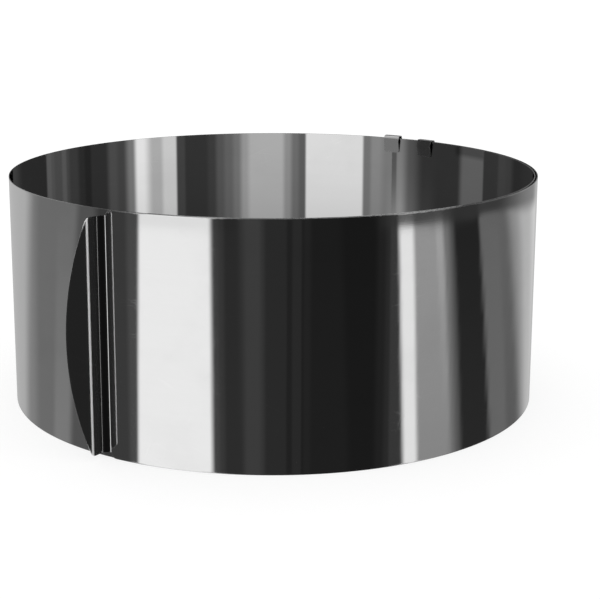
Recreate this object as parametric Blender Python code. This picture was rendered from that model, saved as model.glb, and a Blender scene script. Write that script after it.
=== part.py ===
"""Adjustable cake ring: a coiled strip of spring steel with a grip bent from its outer end.

The ring stands on z = 0 with its axis on Z. Angles are azimuths, counter-clockwise from above,
from the front of the ring, which is -Y. Lengths are in metres.
"""

import math

import bmesh
import bpy

# The coiled strip, at the diameter that it is shown at
RING_DIAMETER = 0.280
RING_HEIGHT = 0.120
SHEET = 0.0005
LAYER_GAP = 0.0003
FACET_ANGLE = math.radians(1.5)

# The grip, folded out of the strip's outer end: a foot, a flange and a half-moon lip
GRIP_AZIMUTH = math.radians(-33.15)
FOOT_TURN = math.radians(45)
FOOT_LENGTH = 0.0030
FLANGE_TURN = math.radians(43)
FLANGE_LENGTH = 0.0060
LIP_TURN = math.radians(-45)
LIP_WIDTH = 0.0106
FOLD_RADIUS = 0.0012
CREASE_RADIUS = 0.0014
GRIP_INSET = 0.0028
GRIP_CORNER_RADIUS = 0.0030
FOLD_STEPS = 5
LIP_STEPS = 18

# How far the strip runs on under the grip, and where its inner end lies
TUCK_ANGLE = math.radians(14)
TAIL_START_AZIMUTH = math.radians(-24)
INNER_END_AZIMUTH = math.radians(147.9)
END_CORNER_RADIUS = 0.0030
CORNER_STEPS = 6

# The spring clips, pushed over the rims of both layers
CLIP_SHEET = 0.0005
CLIP_WIDTH = 0.0101
CLIP_HEIGHT = 0.0098
CLIP_PINCH_GAP = 0.0003
CLIP_SHOULDER_GAP = 0.0014
CLIP_SHOULDER_DROP = 0.0028
CLIP_TOP_GAP = 0.0005
CLIP_BEND_RADIUS = 0.0008
CLIP_TIP_LENGTH = 0.0016
CLIP_TIP_FLARE = 0.0005
CLIP_CORNER_RADIUS = 0.0012
CLIP_COLUMNS = 6
CLIP_STEPS = 6
CLIP_AZIMUTHS = {"rim_clip_a": math.radians(147.9), "rim_clip_b": math.radians(138.2)}
CLIP_SEAT_GAPS = {"rim_clip_a": 0.0011, "rim_clip_b": 0.0003}

# Worked out from the sizes above
TURN = 2 * math.pi
LAYER_PITCH = SHEET + LAYER_GAP
OUTER_RADIUS = RING_DIAMETER / 2 - SHEET / 2
TAIL_RADIUS = OUTER_RADIUS - 2 * LAYER_PITCH
GRIP_FOLDS = (
    (FOOT_TURN, FOLD_RADIUS, FOOT_LENGTH),
    (FLANGE_TURN, FOLD_RADIUS, FLANGE_LENGTH),
    (LIP_TURN, CREASE_RADIUS, LIP_WIDTH),
)


def clear_scene():
    for thing in list(bpy.data.objects):
        bpy.data.objects.remove(thing)


def steel(name, grey, roughness):
    """A bare steel material: its grey, and how polished it is."""
    material = bpy.data.materials.new(name)
    material.use_nodes = True
    shader = material.node_tree.nodes["Principled BSDF"]
    shader.inputs["Base Color"].default_value = (grey, grey, grey, 1)
    shader.inputs["Metallic"].default_value = 1
    shader.inputs["Roughness"].default_value = roughness
    return material


def loft(name, sections, material):
    """A closed solid through a row of sections, each a loop of the same number of points."""
    points = [point for section in sections for point in section]
    count = len(sections[0])
    faces = []
    for row in range(len(sections) - 1):
        for column in range(count):
            here = row * count + column
            beside = row * count + (column + 1) % count
            faces.append((here, beside, beside + count, here + count))
    last = (len(sections) - 1) * count
    faces.append(tuple(range(count))[::-1])
    faces.append(tuple(range(last, last + count)))
    mesh = bpy.data.meshes.new(name)
    mesh.from_pydata(points, [], faces)
    shell = bmesh.new()
    shell.from_mesh(mesh)
    bmesh.ops.recalc_face_normals(shell, faces=shell.faces)
    shell.to_mesh(mesh)
    shell.free()
    mesh.materials.append(material)
    mesh.shade_smooth()
    mesh.set_sharp_from_angle(angle=math.radians(30))
    return mesh


def add_object(name, mesh, parent=None):
    thing = bpy.data.objects.new(name, mesh)
    bpy.context.scene.collection.objects.link(thing)
    thing.parent = parent
    return thing


def on_ring(radius, azimuth):
    return radius * math.sin(azimuth), -radius * math.cos(azimuth)


def normals_along(path):
    """The unit normal to the right of the path at each of its points."""
    normals = []
    for index in range(len(path)):
        ahead = path[min(index + 1, len(path) - 1)]
        behind = path[max(index - 1, 0)]
        run, rise = ahead[0] - behind[0], ahead[1] - behind[1]
        length = math.hypot(run, rise)
        normals.append((rise / length, -run / length))
    return normals


def even_steps(start, end, longest):
    """Values from start to end, both included, no further apart than longest."""
    count = math.ceil(abs(end - start) / longest)
    return [start + (end - start) * step / count for step in range(count + 1)]


def spiral_radius(turned):
    """Middle of the sheet, at an angle turned from the grip: each turn lies one layer further in."""
    return OUTER_RADIUS - LAYER_PITCH * turned / TURN


def wall_columns():
    """The coil, from the tucked end round to the grip, where both rims step in: places, with half heights."""
    columns = []
    shoulder = GRIP_INSET / OUTER_RADIUS
    for turned in even_steps(TURN + TUCK_ANGLE, shoulder, FACET_ANGLE):
        x, y = on_ring(spiral_radius(turned), GRIP_AZIMUTH + turned)
        columns.append((x, y, RING_HEIGHT / 2))
    for step in range(1, FOLD_STEPS + 1):
        turn = math.pi / 2 * step / FOLD_STEPS
        turned = shoulder * (1 - math.sin(turn))
        x, y = on_ring(spiral_radius(turned), GRIP_AZIMUTH + turned)
        columns.append((x, y, RING_HEIGHT / 2 - GRIP_INSET * (1 - math.cos(turn))))
    return columns


def grip_place(run):
    """Where the grip's sheet lies after a run along it from the wall: steps aside and outwards."""
    aside = out = heading = 0
    for turn, radius, length in GRIP_FOLDS:
        arc = min(run, abs(turn) * radius)
        bent = math.copysign(arc / radius, turn)
        chord = 2 * radius * math.sin(abs(bent) / 2)
        aside += chord * math.cos(heading + bent / 2)
        out += chord * math.sin(heading + bent / 2)
        heading += bent
        straight = min(run - arc, length)
        aside += straight * math.cos(heading)
        out += straight * math.sin(heading)
        run -= arc + straight
    return aside, out


def grip_outline():
    """The grip's flat outline: runs along it from the wall, with half heights.

    Its rims run straight over the foot and the flange. A round corner at the crease leads into the
    half-moon lip, whose edge is one arc that would pass through the crease's ends.
    """
    half = RING_HEIGHT / 2 - GRIP_INSET
    outline = []
    run = 0
    for turn, radius, length in GRIP_FOLDS[:2]:
        arc = turn * radius
        outline += [(run + arc * step / FOLD_STEPS, half) for step in range(FOLD_STEPS + 1)]
        run += arc + length
    crease = run - LIP_TURN * CREASE_RADIUS / 2
    lip_radius = (half**2 + LIP_WIDTH**2) / (2 * LIP_WIDTH)
    arc_centre = crease + LIP_WIDTH - lip_radius
    corner_half = half - GRIP_CORNER_RADIUS
    to_corner = math.sqrt((lip_radius - GRIP_CORNER_RADIUS) ** 2 - corner_half**2)
    widest = math.atan2(corner_half, to_corner)
    for step in range(2 * FOLD_STEPS):
        turn = (math.pi / 2 - widest) * step / (2 * FOLD_STEPS)
        place = arc_centre + to_corner + GRIP_CORNER_RADIUS * math.sin(turn)
        outline.append((place, corner_half + GRIP_CORNER_RADIUS * math.cos(turn)))
    for step in range(LIP_STEPS):
        turn = widest * (1 - step / LIP_STEPS)
        outline.append((arc_centre + lip_radius * math.cos(turn), lip_radius * math.sin(turn)))
    return outline[1:]


def grip_columns():
    """The grip, folded and placed at the end of the wall: places in plan, with half heights."""
    root_x, root_y = on_ring(OUTER_RADIUS, GRIP_AZIMUTH)
    aside_x, aside_y = -math.cos(GRIP_AZIMUTH), -math.sin(GRIP_AZIMUTH)
    out_x, out_y = on_ring(1, GRIP_AZIMUTH)
    columns = []
    for run, half in grip_outline():
        aside, out = grip_place(run)
        x = root_x + aside * aside_x + out * out_x
        y = root_y + aside * aside_y + out * out_y
        columns.append((x, y, half))
    return columns


def upright_sheet(name, columns, material):
    """Sheet metal that stands on edge: each column is a place in plan and a half height."""
    sections = []
    for (x, y, half), (normal_x, normal_y) in zip(columns, normals_along(columns)):
        side_x, side_y = normal_x * SHEET / 2, normal_y * SHEET / 2
        low, high = RING_HEIGHT / 2 - half, RING_HEIGHT / 2 + half
        outer, inner = (x + side_x, y + side_y), (x - side_x, y - side_y)
        sections.append([(*outer, low), (*outer, high), (*inner, high), (*inner, low)])
    return loft(name, sections, material)


def tail_columns():
    """The innermost layer, from under the grip to the strip's free inner end, whose corners are round."""
    columns = []
    corner_turn = END_CORNER_RADIUS / TAIL_RADIUS
    corner_start = INNER_END_AZIMUTH - corner_turn
    for azimuth in even_steps(TAIL_START_AZIMUTH, corner_start, FACET_ANGLE):
        columns.append((*on_ring(TAIL_RADIUS, azimuth), RING_HEIGHT / 2))
    for step in range(1, CORNER_STEPS + 1):
        turn = math.pi / 2 * step / CORNER_STEPS
        azimuth = corner_start + corner_turn * math.sin(turn)
        half = RING_HEIGHT / 2 - END_CORNER_RADIUS * (1 - math.cos(turn))
        columns.append((*on_ring(TAIL_RADIUS, azimuth), half))
    return columns


def clip_leg(face, away, height):
    """One leg from its flared tip, over its shoulder, to its top fold: radii and heights.

    face is the steel that the leg presses on, and away is +1 outwards and -1 inwards.
    """
    leg = []
    for gap, drop in (
        (CLIP_PINCH_GAP + CLIP_TIP_FLARE, CLIP_HEIGHT),
        (CLIP_PINCH_GAP, CLIP_HEIGHT - CLIP_TIP_LENGTH),
        (CLIP_SHOULDER_GAP, CLIP_SHOULDER_DROP),
        (CLIP_TOP_GAP, CLIP_BEND_RADIUS),
    ):
        leg.append((face + away * (gap + CLIP_SHEET / 2), height - drop))
    top_radius = leg[-1][0]
    for step in range(1, CLIP_STEPS + 1):
        turn = math.pi / 2 * step / CLIP_STEPS
        radius = top_radius - away * CLIP_BEND_RADIUS * (1 - math.cos(turn))
        leg.append((radius, height - CLIP_BEND_RADIUS * (1 - math.sin(turn))))
    return leg


def clip_path():
    """The middle of the clip's sheet, up the inner leg, over the rims and down the outer leg."""
    top = CLIP_SHEET / 2
    inner = clip_leg(TAIL_RADIUS - SHEET / 2, -1, top)
    outer = clip_leg(OUTER_RADIUS + SHEET / 2, 1, top)
    return inner + outer[::-1]


def clip_half_widths(path):
    """Half of the clip's width along its path: the corners of both tips are round."""
    halves = []
    tip_height = path[0][1]
    for radius, height in path:
        into = min((height - tip_height) / CLIP_CORNER_RADIUS, 1)
        cut = CLIP_CORNER_RADIUS * (1 - math.sqrt(1 - (1 - into) ** 2))
        halves.append(CLIP_WIDTH / 2 - cut)
    return halves


def refined(path):
    """The clip's path with the round tip corners given enough points to show."""
    fine = []
    corner_heights = [CLIP_CORNER_RADIUS * step / CLIP_STEPS for step in range(1, CLIP_STEPS)]
    for (radius, height), (next_radius, next_height) in zip(path, path[1:]):
        fine.append((radius, height))
        rising = next_height > height
        steps = corner_heights if rising else corner_heights[::-1]
        for above in steps:
            level = path[0][1] + above
            if min(height, next_height) < level < max(height, next_height):
                share = (level - height) / (next_height - height)
                fine.append((radius + (next_radius - radius) * share, level))
    fine.append(path[-1])
    return fine


def clip_mesh(material):
    """The clip around its own origin, which lies on the rim, on the wall's outer face at the front."""
    path = refined(clip_path())
    sections = []
    for (radius, height), (normal_r, normal_z), half in zip(
        path, normals_along(path), clip_half_widths(path)
    ):
        sides = []
        for side in (1, -1):
            side_radius = radius + side * normal_r * CLIP_SHEET / 2
            side_height = height + side * normal_z * CLIP_SHEET / 2
            row = []
            for column in range(CLIP_COLUMNS + 1):
                across = half * (2 * column / CLIP_COLUMNS - 1)
                x, y = on_ring(side_radius, across / OUTER_RADIUS)
                row.append((x, y + RING_DIAMETER / 2, side_height))
            sides.append(row)
        sections.append(sides[0] + sides[1][::-1])
    return loft("rim_clip", sections, material)


def add_clips(inner_band, material):
    mesh = clip_mesh(material)
    for name, azimuth in CLIP_AZIMUTHS.items():
        clip = add_object(name, mesh, inner_band)
        x, y = on_ring(RING_DIAMETER / 2, azimuth)
        clip.location = (x, y, RING_HEIGHT + CLIP_SEAT_GAPS[name])
        clip.rotation_euler.z = azimuth


def build():
    clear_scene()
    band_steel = steel("polished_band_steel", 0.70, 0.16)
    clip_steel = steel("clip_spring_steel", 0.58, 0.28)
    outer_columns = wall_columns() + grip_columns()
    add_object("outer_band", upright_sheet("outer_band", outer_columns, band_steel))
    inner_mesh = upright_sheet("inner_band", tail_columns(), band_steel)
    inner_band = add_object("inner_band", inner_mesh)
    add_clips(inner_band, clip_steel)


build()
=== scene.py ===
"""Looks of the adjustable cake ring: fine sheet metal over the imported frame, its steel and a small studio.

Everything is in metres in the part's frame. Angles are azimuths, counter-clockwise from above,
from the front of the ring, which is -Y.
"""

import math

import bpy
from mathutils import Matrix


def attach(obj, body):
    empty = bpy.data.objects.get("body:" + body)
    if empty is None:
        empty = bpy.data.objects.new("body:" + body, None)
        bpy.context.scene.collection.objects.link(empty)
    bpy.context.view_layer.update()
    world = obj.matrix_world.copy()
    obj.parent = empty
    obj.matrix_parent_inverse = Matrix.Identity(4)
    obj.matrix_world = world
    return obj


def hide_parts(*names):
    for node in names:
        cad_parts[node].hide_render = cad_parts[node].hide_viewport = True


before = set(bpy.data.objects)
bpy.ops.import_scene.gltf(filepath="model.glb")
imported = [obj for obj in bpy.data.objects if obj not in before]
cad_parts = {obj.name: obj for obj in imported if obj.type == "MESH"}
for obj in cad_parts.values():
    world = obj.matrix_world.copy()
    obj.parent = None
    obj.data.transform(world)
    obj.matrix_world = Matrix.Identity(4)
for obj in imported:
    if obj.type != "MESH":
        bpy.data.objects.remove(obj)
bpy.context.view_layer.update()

# The photograph's camera
CAMERA_PLACE = (0.0, -0.7713, 0.2446)
CAMERA_PITCH = 0.2167
CAMERA_LENS_MM = 87.42
CAMERA_SENSOR_MM = 36.0
CAMERA_SHIFT = (0.0452, -0.0810)

# The strip, as in the part
RING_DIAMETER = 0.280
RING_HEIGHT = 0.120
SHEET = 0.0005
LAYER_PITCH = 0.0008
TUCK_ANGLE = math.radians(14)
TAIL_START_AZIMUTH = math.radians(-24)
INNER_END_AZIMUTH = math.radians(147.9)
END_CORNER_RADIUS = 0.0030
FINE_ANGLE = math.radians(0.5)
CORNER_STEPS = 16

# The grip, as in the part
GRIP_AZIMUTH = math.radians(-33.15)
FOOT_TURN = math.radians(45)
FOOT_LENGTH = 0.0030
FLANGE_TURN = math.radians(43)
FLANGE_LENGTH = 0.0060
LIP_TURN = math.radians(-45)
LIP_WIDTH = 0.0106
FOLD_RADIUS = 0.0012
CREASE_RADIUS = 0.0014
GRIP_INSET = 0.0028
GRIP_CORNER_RADIUS = 0.0030
FOLD_STEPS = 16
FLAT_STEP = 0.0004
LIP_STEPS = 64

# The sheet's edges: how round they are, and the depths from the edge at which the mesh has a row
EDGE_ROUNDING = 0.00012
EDGE_ROWS = (EDGE_ROUNDING, 0.00025, 0.0007, 0.0014, 0.0028)
EDGE_STEPS = 4
WALL_ROWS = 12
SHARP_ANGLE = math.radians(50)

# Wear, with a painted highlight on the folds, and painted shade in the foot's nook. How far they reach from
# a cut edge, from the middle of a fold and of the foot, and from the crease along the lip's cut edge and
# into it
EDGE_REACH = 0.0028
FOLD_REACH = 0.0011
NOOK_REACH = 0.0021
CORNER_REACH = 0.0030
CORNER_DEPTH = 0.0006
# How much the folds beside the foot and the crease are worn and carry a painted highlight, and how far
# the crease's wear and painted highlight lie before it
FOLD_WEAR_AND_HIGHLIGHT = 0.12
CREASE_WEAR_AND_HIGHLIGHT = 1.0
CREASE_MARK_SHIFT = 0.0004
# Over 1, so that the painted shade darkens the middle of the foot all over
NOOK_SHADE_SPREAD = 1.6
# How many columns on both sides may hold the cut edge that lies nearest
EDGE_NEIGHBOURS = 8

# The clips, as in the part
CLIP_SHEET = 0.0005
CLIP_WIDTH = 0.0101
CLIP_HEIGHT = 0.0098
CLIP_PINCH_GAP = 0.0003
CLIP_SHOULDER_GAP = 0.0014
CLIP_SHOULDER_DROP = 0.0028
CLIP_TOP_GAP = 0.0005
CLIP_BEND_RADIUS = 0.0008
CLIP_TIP_LENGTH = 0.0016
CLIP_TIP_FLARE = 0.0005
CLIP_CORNER_RADIUS = 0.0012
CLIP_EDGE_ROUNDING = 0.00010
CLIP_COLUMNS = 16
CLIP_STEPS = 12
CLIP_AZIMUTHS = {"rim_clip_a": math.radians(147.9), "rim_clip_b": math.radians(138.2)}
CLIP_SEAT_GAPS = {"rim_clip_a": 0.0011, "rim_clip_b": 0.0003}

TURN = 2 * math.pi
OUTER_RADIUS = RING_DIAMETER / 2 - SHEET / 2
TAIL_RADIUS = OUTER_RADIUS - 2 * LAYER_PITCH
GRIP_FOLDS = (
    (FOOT_TURN, FOLD_RADIUS, FOOT_LENGTH),
    (FLANGE_TURN, FOLD_RADIUS, FLANGE_LENGTH),
    (LIP_TURN, CREASE_RADIUS, LIP_WIDTH),
)

# The steel's marks, in waves per metre along the strip and up it
GRAIN_WAVES = (16, 2400)
BAND_WAVES = (3, 240)
SMUDGE_WAVES = (26, 34)
RAGGED_WAVES = (420, 420)
SWELL_WAVES = (21, 9)
STREAK_WAVES = (170, 5)
PATCH_WAVES = (70, 70)
# Three sets of hairlines: how each is turned, then its waves
HAIRLINE_SETS = ((0.10, 14, 2300), (-0.45, 22, 2600), (1.2, 30, 2800))
# The noise at which a mark begins to show, and at which it is full
SMUDGE_RANGE = (0.46, 0.74)
HAIRLINE_RANGE = (0.69, 0.75)
PATCH_RANGE = (0.42, 0.62)
FOLD_RANGE = (0.05, 0.9)
# A cut edge's dull rim is full within the first distance and gone beyond the second, give or take
EDGE_RANGE_MM = (0.45, 1.25)
EDGE_RAGGED_MM = 0.9

# What the marks add to the steel's roughness and to its grey, and what the grain and the bands vary it by
GRAIN_ROUGHNESS = 0.03
GRAIN_ROUGHNESS_MIDDLE = 0.02
MARK_ROUGHNESS = {"bands": 0.01, "smudge": 0.03, "hairlines": 0.08, "edge": 0.22, "fold": 0.42}
BAND_GREY = 0.014
# The grey added on the folds, and their duller metal below, are a painted highlight on top of their wear
MARK_GREY = {"smudge": -0.03, "hairlines": 0.05, "edge": 0.02, "fold": 0.26}
# How much of the grey the painted shade in the grip's foot takes away
NOOK_SHADE_SHARE = 0.65
FOLD_DULLED_METAL = 0.5
STREAK_SHARE = 0.2
HAIRLINE_RELIEF = 0.3
GRAIN_DEPTH = 0.7e-6
GRAIN_DIRECTION = 0.25

# The floor: white paper just under the ring
FLOOR_HALF_WIDTH = 6
FLOOR_DROP = 0.0002
PAPER_GREY = 0.30
PAPER_GLOW = 0.76

# Reflection cards round the ring. Their places and tones come from the photograph: tones read in it were
# traced through the camera and the wall to the azimuths that it mirrors, then adjusted against renders.
# Each card reaches to where the next one starts. The cards lean, so a card's start is given twice, in
# degrees: at CARD_HEAD, which the wall mirrors near its rim, and at CARD_FOOT, mirrored near its foot.
# Then come its brightness at those two heights and the softness of its start, in degrees.
CARD_RADIUS = 1.2
CARD_HEAD = -0.09
CARD_FOOT = -0.41
CARD_LEAN_EASE = 0.85
CARD_STEPS = 1440
STUDIO_CARDS = (
    (-200, -200, 0.54, 0.50, 12),
    (-193, -195, 1.00, 0.95, 4),
    (-183, -184, 0.34, 0.34, 4),
    (-177, -177, 0.06, 0.06, 3),
    (-169, -169, 0.11, 0.11, 3),
    (-162, -161, 0.54, 0.50, 4),
    (-120, -133, 0.28, 0.28, 12),
    (-114, -121, 0.20, 0.20, 10),
    (-96, -105, 0.20, 0.27, 4),
    (-84, -93.3, 0.115, 0.115, 5),
    (-74, -74, 0.055, 0.058, 5),
    (-58.7, -59.2, 0.088, 0.092, 3),
    (-53.2, -55.5, 1.16, 1.16, 2.2),
    (-23.6, -23.6, 0.062, 0.078, 2.5),
    (-20.8, -20.8, 0.050, 0.054, 2),
    (-18.6, -18.6, 0.032, 0.036, 2),
    (-13, -13, 0.046, 0.036, 2.5),
    (-11, -11, 0.062, 0.062, 3),
    (-4.7, -4.7, 0.045, 0.050, 2),
    (-3, -3, 0.031, 0.032, 2),
    (5.3, 5.3, 0.021, 0.021, 1),
    (7.5, 7.5, 0.031, 0.031, 1),
    (11.0, 11.0, 0.019, 0.019, 0.6),
    (12.1, 12.1, 0.023, 0.023, 0.8),
    (14.5, 14.5, 0.016, 0.019, 2),
    (26, 30, 0.0125, 0.0145, 4),
    (41, 41, 0.021, 0.021, 3),
    (44.5, 44.5, 0.031, 0.031, 2),
    (46.3, 47, 0.055, 0.052, 1.5),
    (49.5, 53.7, 1.08, 1.04, 2.6),
    (55.9, 60.3, 0.42, 0.33, 2.5),
    (65.6, 75.2, 0.52, 0.31, 1.5),
    (69.6, 78, 0.23, 0.21, 2.5),
    (72.7, 80.4, 0.12, 0.13, 3),
    (74.9, 83.6, 0.021, 0.030, 3.5),
    (89.3, 103, 0.17, 0.18, 3),
    (102, 118, 0.165, 0.135, 5),
    (110.5, 134, 0.36, 0.36, 11),
    (120.5, 141, 0.56, 0.56, 12),
    (140, 150, 0.72, 0.56, 12),
    (152, 154, 0.54, 0.50, 8),
)

# A dim band over the heads of the studio cards, which the wall mirrors under its rim. Azimuths are in
# degrees and heights in metres. A window is (start, rise, end, fall), and a slope (start, width, amount).
RIM_BAND_RIGHT = (38, 12, 160, 20)
RIM_BAND_LEFT = (-60, 8, -10, 8)
RIM_BAND_DEPTH = 0.109
RIM_BAND_SOFTNESS = 0.010
RIM_BAND_TOP = (0.07, 0.16)
RIM_BAND_SAG = (105, 30, 0.014)
RIM_BAND_LIFT = (86, 8, 0.006)
RIM_BAND_GLOW = 0.045
RIM_BAND_BRIGHTENING = (100, 40, 0.2)
RIM_BAND_STRENGTH = 0.92
RIM_BAND_LEFT_SHADE = 0.12
# The cards behind the ring are darker over this height
BACK_AZIMUTH = (125, 25)
BACK_HEIGHT = (-0.06, 0.05)
BACK_SHADE = 0.65

# Rows of points in the studio cards, closest where the wall mirrors the dim band
STUDIO_ROWS_BELOW = (-4, -2, -1, -0.6, -0.41, -0.35, -0.29, -0.23, -0.18)
STUDIO_ROWS_NEAR = (-0.14, 0.002, 40)
STUDIO_ROWS_ABOVE = (-0.04, -0.02, 0, 0.1, 0.4, 1, 4)

# A second wall of cards, inside the ring, which only the inner face reflects. It stands INNER_BULGE
# nearer to the wall at both sides. Its places and tones come from the photograph in the same way: each
# card's start in degrees, its brightness, and the softness of its start in degrees.
INNER_RADIUS = 0.1358
INNER_BULGE = 0.0013
BULGE_HALF_WIDTH = (14, 8)
INNER_CARDS = (
    (90, 0.034, 3),
    (99, 0.030, 4),
    (105, 0.058, 4),
    (109, 0.066, 3),
    (112.9, 0.045, 1.3),
    (119.0, 0.155, 0.8),
    (127.3, 0.041, 2.2),
    (141.1, 0.11, 4.1),
    (144.6, 0.27, 3.1),
    (147.0, 0.115, 0.6),
    (148.7, 0.26, 0.8),
    (151.5, 0.335, 2.4),
    (154.6, 0.24, 1.2),
    (156.7, 1.00, 0.8),
    (171.6, 0.15, 0.6),
    (173.4, 0.21, 1.2),
    (175.3, 0.37, 1.4),
    (177.2, 0.58, 1.4),
    (186.2, 0.43, 1.6),
    (188.1, 0.23, 1.6),
    (190.1, 0.165, 1.4),
    (192.4, 0.12, 1.4),
    (194.5, 0.062, 1.4),
    (196.7, 0.045, 1.4),
    (202.7, 0.075, 0.8),
    (205.0, 0.82, 0.7),
    (208.8, 0.58, 1.4),
    (212.8, 1.08, 3.0),
    (216.4, 0.25, 1.6),
    (218.9, 0.075, 2.2),
    (221.7, 0.095, 1.6),
    (224.5, 0.038, 1.8),
    (229.9, 0.024, 0.8),
    (232.0, 0.033, 1.0),
    (234.1, 0.055, 1.6),
    (237.3, 0.078, 1.2),
    (238.4, 0.122, 0.9),
    (240.0, 0.088, 0.8),
    (242.9, 0.105, 0.8),
    (244.2, 0.130, 0.8),
    (246.1, 0.030, 0.8),
    (262.0, 0.06, 6.0),
    (290.0, 0.60, 5.0),
    (318.0, 0.05, 4.0),
    (345.0, 0.35, 6.0),
    (372.0, 0.80, 4.0),
    (400.0, 0.08, 4.0),
    (425.0, 0.30, 5.0),
    (441.0, 0.034, 6.0),
)

# How the inner cards change with height: dimmer to the foot and over the rim, with windows where they
# are brighter, and patches for the clip's face and the thin dark line below it, tuned to the photograph
INNER_LIT = (134, 4, 152, 6)
INNER_FOOT_GAIN = 1.5
INNER_FOOT_FADE = 0.4
INNER_CLIPS = (141, 3, 155, 3)
OVER_RIM_HEIGHT = (0.1203, 0.0015)
OVER_RIM_GAIN = 3.2
OVER_RIM_FADE = 0.6
UNDER_RIM = (118.5, 1, 130, 2)
UNDER_RIM_HEIGHT = (0.1125, 0.003)
UNDER_RIM_FADE = 0.45
CLIP_FACE = (145, 1, 151.2, 1)
CLIP_FACE_HEIGHT = (0.1104, 0.0012)
CLIP_FACE_GLOW = 0.25
THIN_LINE = (145.8, 1, 149.8, 1)
THIN_LINE_HEIGHT = (0.055, 0.055)
THIN_LINE_GLOW = 0.24
INNER_GLOW_LIMIT = 1.2
INNER_ROWS = (
    *(-0.35, -0.1, 0, 0.03, 0.06, 0.07, 0.08, 0.09, 0.1),
    *(0.1104, 0.111, 0.1116, 0.1125, 0.114, 0.1155),
    *(0.1203, 0.1208, 0.1213, 0.1218, 0.13, 0.16, 0.35),
)


def on_ring(radius, azimuth):
    return radius * math.sin(azimuth), -radius * math.cos(azimuth)


def smooth(share):
    share = max(0, min(1, share))
    return share * share * (3 - 2 * share)


def slope(value, start, width, amount=1):
    """0 up to start, then rising softly to amount over width."""
    return amount * smooth((value - start) / width)


def window(value, start, rise, end, fall):
    """0 outside start and end, rising softly to 1 after start and falling back before end."""
    return smooth((value - start) / rise) * smooth((end - value) / fall)


def even_steps(start, end, longest):
    count = math.ceil(abs(end - start) / longest)
    return [start + (end - start) * step / count for step in range(count + 1)]


def spiral_radius(turned):
    return OUTER_RADIUS - LAYER_PITCH * turned / TURN


def wall_columns():
    """The coil, from the tucked end to the grip, where both rims step in: places, with half heights."""
    columns = []
    shoulder = GRIP_INSET / OUTER_RADIUS
    for turned in even_steps(TURN + TUCK_ANGLE, shoulder, FINE_ANGLE):
        x, y = on_ring(spiral_radius(turned), GRIP_AZIMUTH + turned)
        columns.append((x, y, RING_HEIGHT / 2))
    for step in range(1, FOLD_STEPS + 1):
        turn = math.pi / 2 * step / FOLD_STEPS
        turned = shoulder * (1 - math.sin(turn))
        x, y = on_ring(spiral_radius(turned), GRIP_AZIMUTH + turned)
        columns.append((x, y, RING_HEIGHT / 2 - GRIP_INSET * (1 - math.cos(turn))))
    return columns


def grip_place(run):
    """Where the grip's sheet lies after a run along it from the wall: steps aside and outwards."""
    aside = out = heading = 0
    for turn, radius, length in GRIP_FOLDS:
        arc = min(run, abs(turn) * radius)
        bent = math.copysign(arc / radius, turn)
        chord = 2 * radius * math.sin(abs(bent) / 2)
        aside += chord * math.cos(heading + bent / 2)
        out += chord * math.sin(heading + bent / 2)
        heading += bent
        straight = min(run - arc, length)
        aside += straight * math.cos(heading)
        out += straight * math.sin(heading)
        run -= arc + straight
    return aside, out


def grip_outline():
    """The grip's flat outline: runs along it from the wall, with half heights."""
    half = RING_HEIGHT / 2 - GRIP_INSET
    outline = []
    run = 0
    for turn, radius, length in GRIP_FOLDS[:2]:
        arc = turn * radius
        outline += [(run + arc * step / FOLD_STEPS, half) for step in range(FOLD_STEPS + 1)]
        run += arc
        outline += [(place, half) for place in even_steps(run, run + length, FLAT_STEP)[1:-1]]
        run += length
    crease = run - LIP_TURN * CREASE_RADIUS / 2
    lip_radius = (half**2 + LIP_WIDTH**2) / (2 * LIP_WIDTH)
    arc_centre = crease + LIP_WIDTH - lip_radius
    corner_half = half - GRIP_CORNER_RADIUS
    to_corner = math.sqrt((lip_radius - GRIP_CORNER_RADIUS) ** 2 - corner_half**2)
    widest = math.atan2(corner_half, to_corner)
    corner_start = arc_centre + to_corner - FLAT_STEP / 4
    outline = [(place, rim) for place, rim in outline if place < corner_start]
    for step in range(2 * FOLD_STEPS):
        turn = (math.pi / 2 - widest) * step / (2 * FOLD_STEPS)
        place = arc_centre + to_corner + GRIP_CORNER_RADIUS * math.sin(turn)
        outline.append((place, corner_half + GRIP_CORNER_RADIUS * math.cos(turn)))
    for step in range(LIP_STEPS):
        turn = widest * (1 - step / LIP_STEPS)
        outline.append((arc_centre + lip_radius * math.cos(turn), lip_radius * math.sin(turn)))
    return outline[1:]


def grip_columns():
    """The grip, folded and placed at the end of the wall: places in plan, with half heights."""
    root_x, root_y = on_ring(OUTER_RADIUS, GRIP_AZIMUTH)
    aside_x, aside_y = -math.cos(GRIP_AZIMUTH), -math.sin(GRIP_AZIMUTH)
    out_x, out_y = on_ring(1, GRIP_AZIMUTH)
    columns = []
    for run, half in grip_outline():
        aside, out = grip_place(run)
        x = root_x + aside * aside_x + out * out_x
        y = root_y + aside * aside_y + out * out_y
        columns.append((x, y, half))
    return columns


def tail_columns():
    """The innermost layer, from under the grip to the strip's free inner end, whose corners are round."""
    columns = []
    corner_turn = END_CORNER_RADIUS / TAIL_RADIUS
    corner_start = INNER_END_AZIMUTH - corner_turn
    for azimuth in even_steps(TAIL_START_AZIMUTH, corner_start, FINE_ANGLE):
        columns.append((*on_ring(TAIL_RADIUS, azimuth), RING_HEIGHT / 2))
    for step in range(1, CORNER_STEPS + 1):
        turn = math.pi / 2 * step / CORNER_STEPS
        azimuth = corner_start + corner_turn * math.sin(turn)
        half = RING_HEIGHT / 2 - END_CORNER_RADIUS * (1 - math.cos(turn))
        columns.append((*on_ring(TAIL_RADIUS, azimuth), half))
    return columns


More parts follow.
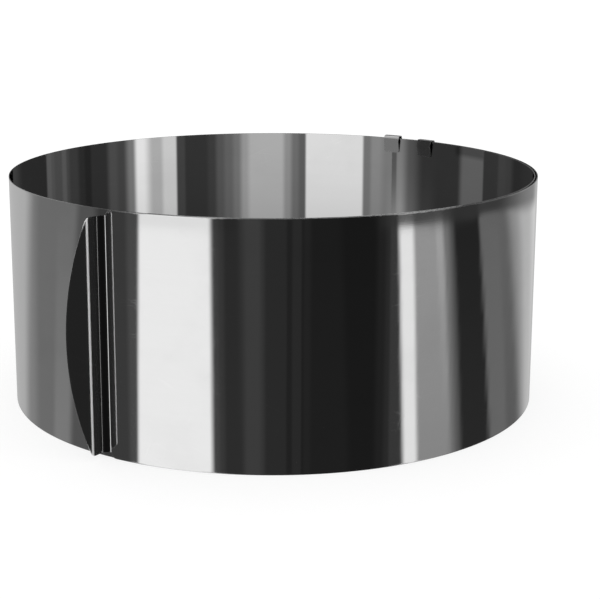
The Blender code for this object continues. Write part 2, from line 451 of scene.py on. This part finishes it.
def normals_along(path):
    normals = []
    for index in range(len(path)):
        ahead = path[min(index + 1, len(path) - 1)]
        behind = path[max(index - 1, 0)]
        run, rise = ahead[0] - behind[0], ahead[1] - behind[1]
        length = math.hypot(run, rise)
        normals.append((rise / length, -run / length))
    return normals


def runs_along(path):
    """How far each point of a path lies along it."""
    runs = [0]
    for here, ahead in zip(path, path[1:]):
        runs.append(runs[-1] + math.hypot(ahead[0] - here[0], ahead[1] - here[1]))
    return runs


def rounded_edge(face, half, rounding):
    """Across a rounded edge of a sheet, from just above one face to just above the other."""
    near = []
    for step in range(1, EDGE_STEPS):
        turn = math.pi / 2 * step / EDGE_STEPS
        near.append((face - rounding * (1 - math.cos(turn)), half - rounding * (1 - math.sin(turn))))
    near.append((face - rounding, half))
    return near + [(-through, height) for through, height in near[::-1]]


def sheet_profile(half):
    """Round the sheet's section once: offsets through the sheet, and heights from the middle."""
    slices = len(EDGE_ROWS) + 2
    depths = [min(depth, half * (row + 1) / slices) for row, depth in enumerate(EDGE_ROWS)]
    heights = [-(half - depth) for depth in depths]
    flat = half - depths[-1]
    heights += [flat * (2 * row / WALL_ROWS - 1) for row in range(1, WALL_ROWS)]
    heights += [half - depth for depth in depths[::-1]]
    cap = rounded_edge(SHEET / 2, half, depths[0])
    outer = [(SHEET / 2, height) for height in heights]
    inner = [(-SHEET / 2, height) for height in heights[::-1]]
    return outer + cap + inner + [(-through, -height) for through, height in cap]


def edge_distance(outline, index, height):
    """How far a point of the sheet, laid out flat, lies from the nearest cut edge, up to a limit."""
    run, half = outline[index]
    nearest = min(EDGE_REACH, run - outline[0][0], outline[-1][0] - run, half - abs(height))
    if half > RING_HEIGHT / 2 - SHEET:
        return max(nearest, 0)
    first = index - EDGE_NEIGHBOURS
    nearby = outline[first : index + EDGE_NEIGHBOURS]
    for (start, start_half), (end, end_half) in zip(nearby, outline[first + 1 :]):
        span, rise = end - start, end_half - start_half
        length = math.hypot(span, rise)
        along = ((run - start) * span + (abs(height) - start_half) * rise) / length
        along = max(0, min(length, along)) / length
        gap_run = run - start - span * along
        gap_height = abs(height) - start_half - rise * along
        nearest = min(nearest, math.hypot(gap_run, gap_height))
    return max(nearest, 0)


def fold_wear_and_highlight(run, folds):
    """A fold's wear and painted highlight on its middle, falling to 0 beside it."""
    return max((smooth(1 - abs(run - place) / FOLD_REACH) * wear_and_highlight for place, wear_and_highlight in folds), default=0)


def corner_wear_and_highlight(past_crease, gap):
    """1 on the lip's cut edge at the crease, worn and with a painted highlight, falling to 0 along the edge.
    """
    if past_crease < -FOLD_REACH:
        return 0
    return smooth(1 - gap / CORNER_DEPTH) * smooth(1 - abs(past_crease) / CORNER_REACH)


def nook_painted_shade(run, nook):
    """1 along the middle of the narrow foot, as painted shade in its recess, falling to 0 at the folds
    beside it.
    """
    return smooth(NOOK_SHADE_SPREAD * (NOOK_REACH - abs(run - nook)) / NOOK_REACH)


def skin(loops):
    """Faces over a row of loops, with both ends closed."""
    count = len(loops[0])
    faces = []
    for row in range(len(loops) - 1):
        for column in range(count):
            here = row * count + column
            beside = row * count + (column + 1) % count
            faces.append((here, beside, beside + count, here + count))
    last = (len(loops) - 1) * count
    faces.append(tuple(range(count))[::-1])
    faces.append(tuple(range(last, last + count)))
    return faces


def sheet_mesh(name, loops, flat_places, measures):
    """A smooth mesh over loops of points, with the flat layout as its UV map and measures as attributes."""
    mesh = bpy.data.meshes.new(name)
    mesh.from_pydata([point for loop in loops for point in loop], [], skin(loops))
    mesh.shade_smooth()
    layout = mesh.uv_layers.new(name="strip")
    corners = [0] * len(mesh.loops)
    mesh.loops.foreach_get("vertex_index", corners)
    layout.data.foreach_set("uv", [value for corner in corners for value in flat_places[corner]])
    for measure, values in measures.items():
        attribute = mesh.attributes.new(measure, "FLOAT", "POINT")
        attribute.data.foreach_set("value", values)
    mesh.set_sharp_from_angle(angle=SHARP_ANGLE)
    return mesh


def strip_mesh(name, columns, folds=(), nook=math.inf, crease=math.inf):
    """Sheet metal on edge. Laid out flat, U runs along the strip and V up it."""
    runs = runs_along(columns)
    outline = [(run, column[2]) for run, column in zip(runs, columns)]
    loops = []
    flat_places = []
    edges = []
    wear_and_highlight = []
    painted_nook_shade = []
    for index, ((x, y, half), (nx, ny)) in enumerate(zip(columns, normals_along(columns))):
        loop = []
        # The folds' wear carries a painted highlight, also at the lip's corner by the crease
        worn_and_highlit = fold_wear_and_highlight(runs[index], folds)
        # Painted shade along the middle of the grip's foot
        nook_shaded = nook_painted_shade(runs[index], nook)
        for through, height in sheet_profile(half):
            loop.append((x + nx * through, y + ny * through, RING_HEIGHT / 2 + height))
            flat_places.append((runs[index], RING_HEIGHT / 2 + height))
            gap = edge_distance(outline, index, height)
            edges.append(1000 * gap)
            wear_and_highlight.append(max(worn_and_highlit, corner_wear_and_highlight(runs[index] - crease, gap)))
            painted_nook_shade.append(nook_shaded)
        loops.append(loop)
    return sheet_mesh(name, loops, flat_places, {"edge_mm": edges, "fold": wear_and_highlight, "painted_nook_shade": painted_nook_shade})


def add_object(name, mesh):
    thing = bpy.data.objects.new(name, mesh)
    bpy.context.scene.collection.objects.link(thing)
    return thing


def clip_leg(face, away, height):
    """One leg from its flared tip, over its shoulder, to its top fold: radii and heights."""
    places = []
    for gap, drop in (
        (CLIP_PINCH_GAP + CLIP_TIP_FLARE, CLIP_HEIGHT),
        (CLIP_PINCH_GAP, CLIP_HEIGHT - CLIP_TIP_LENGTH),
        (CLIP_SHOULDER_GAP, CLIP_SHOULDER_DROP),
        (CLIP_TOP_GAP, CLIP_BEND_RADIUS),
    ):
        places.append((face + away * (gap + CLIP_SHEET / 2), height - drop))
    leg = []
    for start, end in zip(places, places[1:]):
        for step in range(CLIP_STEPS):
            share = step / CLIP_STEPS
            leg.append(tuple(a + (b - a) * share for a, b in zip(start, end)))
    for _ in range(CLIP_STEPS // 3):
        middles = zip(leg, leg[1:], leg[2:])
        leg[1:-1] = [tuple((a + 2 * b + c) / 4 for a, b, c in zip(*three)) for three in middles]
    top_radius = places[-1][0]
    for step in range(CLIP_STEPS + 1):
        turn = math.pi / 2 * step / CLIP_STEPS
        radius = top_radius - away * CLIP_BEND_RADIUS * (1 - math.cos(turn))
        leg.append((radius, height - CLIP_BEND_RADIUS * (1 - math.sin(turn))))
    return leg


def clip_path():
    top = CLIP_SHEET / 2
    inner = clip_leg(TAIL_RADIUS - SHEET / 2, -1, top)
    outer = clip_leg(OUTER_RADIUS + SHEET / 2, 1, top)
    return inner + outer[::-1]


def clip_section(half_width):
    """Round the clip's section once: places across it and through its sheet."""
    face = CLIP_SHEET / 2
    flat = half_width - CLIP_EDGE_ROUNDING
    across = [flat * (1 - 2 * column / CLIP_COLUMNS) for column in range(CLIP_COLUMNS + 1)]
    edge = [(-place, through) for through, place in rounded_edge(face, half_width, CLIP_EDGE_ROUNDING)]
    section = [(place, face) for place in across] + edge
    return section + [(-place, -through) for place, through in section]


def clip_mesh():
    """The clip around its own origin, which lies on the rim, on the wall's outer face at the front."""
    path = clip_path()
    runs = runs_along(path)
    loops = []
    flat_places = []
    edges = []
    tip_height = path[0][1]
    for run, (radius, height), (normal_r, normal_z) in zip(runs, path, normals_along(path)):
        into = min((height - tip_height) / CLIP_CORNER_RADIUS, 1)
        cut = CLIP_CORNER_RADIUS * (1 - math.sqrt(1 - (1 - into) ** 2))
        half_width = CLIP_WIDTH / 2 - cut
        loop = []
        for across, through in clip_section(half_width):
            x, y = on_ring(radius + normal_r * through, across / OUTER_RADIUS)
            loop.append((x, y + RING_DIAMETER / 2, height + normal_z * through))
            flat_places.append((across, run))
            nearest = min(EDGE_REACH, half_width - abs(across), run, runs[-1] - run)
            edges.append(1000 * max(nearest, 0))
        loops.append(loop)
    measures = {"edge_mm": edges, "fold": [0.0] * len(edges)}
    return sheet_mesh("rim_clip", loops, flat_places, measures)


def node(tree, kind, inputs, operation=None):
    """Add a shader node. Each input is a number or colour, or the socket that drives it."""
    made = tree.nodes.new("ShaderNode" + kind)
    if operation:
        made.operation = operation
    for key, value in inputs.items():
        if isinstance(value, bpy.types.NodeSocket):
            tree.links.new(value, made.inputs[key])
        else:
            made.inputs[key].default_value = value
    return made


def maths(tree, operation, first, second=0.0):
    return node(tree, "Math", {0: first, 1: second}, operation).outputs[0]


def multiply_add(tree, value, factor, rest):
    """value times factor, plus rest."""
    return node(tree, "Math", {0: value, 1: factor, 2: rest}, "MULTIPLY_ADD").outputs[0]


def blend_range(tree, value, low, high, start=0.0, end=1.0):
    """A soft step: start while value is at or under low, end from high on."""
    made = node(tree, "MapRange", {"Value": value, 1: low, 2: high, 3: start, 4: end})
    made.interpolation_type = "SMOOTHSTEP"
    return made.outputs["Result"]


def stretched_noise(tree, layout, across, up, detail=2.0, turned=0.0):
    """Noise over the flat layout, with its own number of waves per metre across and up."""
    mapping = node(tree, "Mapping", {"Vector": layout, "Rotation": (0, 0, turned)})
    scaled = node(tree, "VectorMath", {0: mapping.outputs[0], 1: (across, up, 0)}, "MULTIPLY")
    inputs = {"Vector": scaled.outputs[0], "Scale": 1.0, "Detail": detail}
    return node(tree, "TexNoise", inputs).outputs[0]


def attribute(tree, name):
    made = tree.nodes.new("ShaderNodeAttribute")
    made.attribute_name = name
    return made.outputs["Fac"]


def scratches(tree, layout):
    """Sparse hairlines in three directions."""
    lines = None
    for turned, across, up in HAIRLINE_SETS:
        noise = stretched_noise(tree, layout, across, up, 1.0, turned)
        fine = blend_range(tree, noise, *HAIRLINE_RANGE)
        lines = fine if lines is None else maths(tree, "MAXIMUM", lines, fine)
    patches = blend_range(tree, stretched_noise(tree, layout, *PATCH_WAVES), *PATCH_RANGE)
    return maths(tree, "MULTIPLY", lines, patches)


def steel_material(name, grey, roughness, anisotropic, waviness):
    """Rolled steel: fine grain along the sheet, smudges, hairlines, dull cut edges, burnished folds with a
    painted highlight, and painted shade in the grip's foot.
    """
    material = bpy.data.materials.new(name)
    material.use_nodes = True
    tree = material.node_tree
    shader = tree.nodes["Principled BSDF"]
    uv_map = tree.nodes.new("ShaderNodeUVMap")
    uv_map.uv_map = "strip"
    layout = uv_map.outputs["UV"]
    tangent = tree.nodes.new("ShaderNodeTangent")
    tangent.direction_type = "UV_MAP"
    tangent.uv_map = "strip"

    grain = stretched_noise(tree, layout, *GRAIN_WAVES, 3.0)
    ragged = stretched_noise(tree, layout, *RAGGED_WAVES)
    ragged = multiply_add(tree, ragged, EDGE_RAGGED_MM, attribute(tree, "edge_mm"))
    marks = {
        "bands": stretched_noise(tree, layout, *BAND_WAVES),
        "smudge": blend_range(tree, stretched_noise(tree, layout, *SMUDGE_WAVES, 4.0), *SMUDGE_RANGE),
        "hairlines": scratches(tree, layout),
        "edge": blend_range(tree, ragged, *EDGE_RANGE_MM, 1.0, 0.0),
        "fold": blend_range(tree, attribute(tree, "fold"), *FOLD_RANGE),
    }

    dullness = multiply_add(tree, grain, GRAIN_ROUGHNESS, roughness - GRAIN_ROUGHNESS_MIDDLE)
    for mark, amount in MARK_ROUGHNESS.items():
        dullness = multiply_add(tree, marks[mark], amount, dullness)

    level = multiply_add(tree, marks["bands"], BAND_GREY, grey - BAND_GREY / 2)
    # The fold mark lifts the grey here as a painted highlight
    for mark, amount in MARK_GREY.items():
        level = multiply_add(tree, marks[mark], amount, level)
    # Painted shade darkens the grey along the middle of the grip's foot
    kept = multiply_add(tree, attribute(tree, "painted_nook_shade"), -NOOK_SHADE_SHARE, 1.0)
    level = maths(tree, "MULTIPLY", level, kept)
    # The folds' duller metal goes with their painted highlight
    metallic = multiply_add(tree, marks["fold"], -FOLD_DULLED_METAL, 1.0)
    colour = node(tree, "CombineColor", {"Red": level, "Green": level, "Blue": level})

    swell = stretched_noise(tree, layout, *SWELL_WAVES)
    wavy = multiply_add(tree, stretched_noise(tree, layout, *STREAK_WAVES), STREAK_SHARE, swell)
    slow = node(tree, "Bump", {"Strength": 1.0, "Distance": waviness, "Height": wavy})
    fine = multiply_add(tree, marks["hairlines"], HAIRLINE_RELIEF, grain)
    relief = {"Strength": 1.0, "Distance": GRAIN_DEPTH, "Height": fine, "Normal": slow.outputs[0]}
    quick = node(tree, "Bump", relief)

    tree.links.new(colour.outputs[0], shader.inputs["Base Color"])
    tree.links.new(dullness, shader.inputs["Roughness"])
    tree.links.new(metallic, shader.inputs["Metallic"])
    tree.links.new(quick.outputs[0], shader.inputs["Normal"])
    tree.links.new(tangent.outputs["Tangent"], shader.inputs["Tangent"])
    shader.inputs["Anisotropic"].default_value = anisotropic
    shader.inputs["Anisotropic Rotation"].default_value = GRAIN_DIRECTION
    return material


def card_brightness(cards, azimuth):
    """How bright a row of cards is in one direction. Each takes over softly where it starts."""
    turned = cards[0][0] + (azimuth - cards[0][0]) % 360
    glow = cards[0][1]
    for start, brightness, softness in cards[1:]:
        glow += (brightness - glow) * smooth((turned - start) / softness + 0.5)
    return glow


def studio_glow(azimuth, height):
    """The tall, leaning cards, with a dim band over their heads that the wall mirrors under its rim."""
    foot = max(0, min(1, (CARD_HEAD - height) / (CARD_HEAD - CARD_FOOT))) ** CARD_LEAN_EASE
    cards = []
    for head_start, foot_start, head_brightness, foot_brightness, softness in STUDIO_CARDS:
        start = head_start + (foot_start - head_start) * foot
        cards.append((start, head_brightness + (foot_brightness - head_brightness) * foot, softness))
    glow = card_brightness(cards, azimuth)
    sag = slope(azimuth, *RIM_BAND_SAG)
    depth = RIM_BAND_DEPTH - slope(azimuth, *RIM_BAND_LIFT) + sag
    band = window(height, -depth, RIM_BAND_SOFTNESS + sag, *RIM_BAND_TOP)
    dim = RIM_BAND_GLOW + slope(azimuth, *RIM_BAND_BRIGHTENING)
    glow += (dim - glow) * band * RIM_BAND_STRENGTH * window(azimuth, *RIM_BAND_RIGHT)
    left_shade = RIM_BAND_LEFT_SHADE * band * window(azimuth, *RIM_BAND_LEFT)
    back_shade = BACK_SHADE * slope(abs(azimuth), *BACK_AZIMUTH) * slope(height, *BACK_HEIGHT)
    return glow * (1 - left_shade) * (1 - back_shade)


def inner_radius(azimuth):
    """The inner cards stand nearer to the wall at both sides, where the front view grazes it."""
    from_side = abs(abs(azimuth) - 90)
    return INNER_RADIUS + INNER_BULGE * (1 - slope(from_side, *BULGE_HALF_WIDTH))


def inner_glow(azimuth, height):
    """The inner cards: dimmer to the foot and over the rim, but brightest there behind the clips."""
    turned = azimuth % 360
    lit = window(turned, *INNER_LIT)
    behind_clips = window(turned, *INNER_CLIPS)
    fade = 1 + (INNER_FOOT_GAIN * lit - INNER_FOOT_FADE) * (1 - smooth(height / RING_HEIGHT))
    fade += (OVER_RIM_GAIN * behind_clips - OVER_RIM_FADE) * slope(height, *OVER_RIM_HEIGHT)
    fade -= UNDER_RIM_FADE * window(turned, *UNDER_RIM) * slope(height, *UNDER_RIM_HEIGHT)
    glow = card_brightness(INNER_CARDS, azimuth)
    clip_face = window(turned, *CLIP_FACE) * slope(height, *CLIP_FACE_HEIGHT)
    glow += (CLIP_FACE_GLOW - glow) * clip_face
    below = window(turned, *THIN_LINE) * (1 - slope(height, *THIN_LINE_HEIGHT))
    return min((glow + (THIN_LINE_GLOW - glow) * below) * fade, INNER_GLOW_LIMIT)


def add_card_wall(name, glow_at, radius_at, heights):
    """A ring of soft cards that only reflections see."""
    mesh = bpy.data.meshes.new(name)
    points = []
    values = []
    for step in range(CARD_STEPS):
        degrees = -180 + 360 * step / CARD_STEPS
        x, y = on_ring(radius_at(degrees), math.radians(degrees))
        for height in heights:
            points.append((x, y, height))
            values.append(glow_at(degrees, height))
    faces = []
    rows = len(heights)
    for step in range(CARD_STEPS):
        here = step * rows
        beside = (step + 1) % CARD_STEPS * rows
        for row in range(rows - 1):
            faces.append((here + row, beside + row, beside + row + 1, here + row + 1))
    mesh.from_pydata(points, [], faces)
    glow = mesh.attributes.new("glow", "FLOAT", "POINT")
    glow.data.foreach_set("value", values)
    thing = add_object(name, mesh)
    thing.visible_camera = False
    thing.visible_diffuse = False
    thing.visible_shadow = False
    thing.visible_transmission = False
    thing.visible_volume_scatter = False
    material = bpy.data.materials.new(name)
    material.use_nodes = True
    tree = material.node_tree
    tree.nodes.clear()
    emission = node(tree, "Emission", {"Strength": attribute(tree, "glow")})
    node(tree, "OutputMaterial", {"Surface": emission.outputs["Emission"]})
    mesh.materials.append(material)


def add_cards():
    lowest, apart, count = STUDIO_ROWS_NEAR
    near = [lowest + apart * row for row in range(count)]
    heights = [*STUDIO_ROWS_BELOW, *near, *STUDIO_ROWS_ABOVE]
    add_card_wall("studio_cards", studio_glow, lambda azimuth: CARD_RADIUS, heights)
    add_card_wall("inner_cards", inner_glow, inner_radius, INNER_ROWS)


def add_camera():
    camera = bpy.data.objects.new("camera", bpy.data.cameras.new("camera"))
    bpy.context.scene.collection.objects.link(camera)
    camera.location = CAMERA_PLACE
    camera.rotation_euler = (math.pi / 2 - CAMERA_PITCH, 0, 0)
    camera.data.lens = CAMERA_LENS_MM
    camera.data.sensor_width = CAMERA_SENSOR_MM
    camera.data.shift_x, camera.data.shift_y = CAMERA_SHIFT
    bpy.context.scene.camera = camera


def add_world():
    world = bpy.data.worlds.new("studio")
    bpy.context.scene.world = world
    world.use_nodes = True
    background = world.node_tree.nodes["Background"]
    background.inputs["Color"].default_value = (1, 1, 1, 1)
    background.inputs["Strength"].default_value = 1


def add_floor():
    """White paper: it glows by itself for the camera, and the rest of its light takes the shadow."""
    mesh = bpy.data.meshes.new("floor")
    signs = ((-1, -1), (1, -1), (1, 1), (-1, 1))
    corners = [(x * FLOOR_HALF_WIDTH, y * FLOOR_HALF_WIDTH, 0) for x, y in signs]
    mesh.from_pydata(corners, [], [(0, 1, 2, 3)])
    floor = add_object("floor", mesh)
    floor.location.z = -FLOOR_DROP
    material = bpy.data.materials.new("floor_paper")
    material.use_nodes = True
    tree = material.node_tree
    tree.nodes.clear()
    diffuse = node(tree, "BsdfDiffuse", {"Color": (PAPER_GREY, PAPER_GREY, PAPER_GREY, 1)})
    glow = node(tree, "Emission", {"Strength": PAPER_GLOW})
    both = node(tree, "AddShader", {0: diffuse.outputs["BSDF"], 1: glow.outputs["Emission"]})
    node(tree, "OutputMaterial", {"Surface": both.outputs["Shader"]})
    mesh.materials.append(material)
    floor.visible_glossy = False


def add_strip():
    """The strip's two bodies, in one steel."""
    steel = steel_material(
        "polished_band_steel", grey=0.70, roughness=0.04, anisotropic=0.25, waviness=0.00004
    )
    wall = wall_columns()
    columns = wall + grip_columns()
    root = runs_along(wall)[-1]
    foot = root + FOOT_TURN * FOLD_RADIUS / 2
    heel = root + FOOT_TURN * FOLD_RADIUS + FOOT_LENGTH + FLANGE_TURN * FOLD_RADIUS / 2
    crease = heel + FLANGE_TURN * FOLD_RADIUS / 2 + FLANGE_LENGTH - LIP_TURN * CREASE_RADIUS / 2
    # Worn folds with a painted highlight, and painted shade in the foot between them
    folds = ((foot, FOLD_WEAR_AND_HIGHLIGHT), (heel, FOLD_WEAR_AND_HIGHLIGHT), (crease - CREASE_MARK_SHIFT, CREASE_WEAR_AND_HIGHLIGHT))
    outer_mesh = strip_mesh("band_outer_turn", columns, folds, (foot + heel) / 2, crease)
    outer = add_object("band_outer_turn", outer_mesh)
    inner = add_object("band_inner_end", strip_mesh("band_inner_end", tail_columns()))
    for piece, body in ((outer, "outer_band"), (inner, "inner_band")):
        piece.data.materials.append(steel)
        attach(piece, body)
        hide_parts(body)


def add_clips():
    steel = steel_material(
        "clip_spring_steel", grey=0.62, roughness=0.14, anisotropic=0.5, waviness=0.00001
    )
    for name, azimuth in CLIP_AZIMUTHS.items():
        clip = add_object(name.replace("rim", "spring"), clip_mesh())
        clip.data.materials.append(steel)
        clip.location = (*on_ring(RING_DIAMETER / 2, azimuth), RING_HEIGHT + CLIP_SEAT_GAPS[name])
        clip.rotation_euler.z = azimuth
        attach(clip, name)
        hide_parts(name)


add_camera()
add_strip()
add_clips()
add_cards()
add_world()
add_floor()
bpy.context.scene.view_settings.view_transform = "Standard"
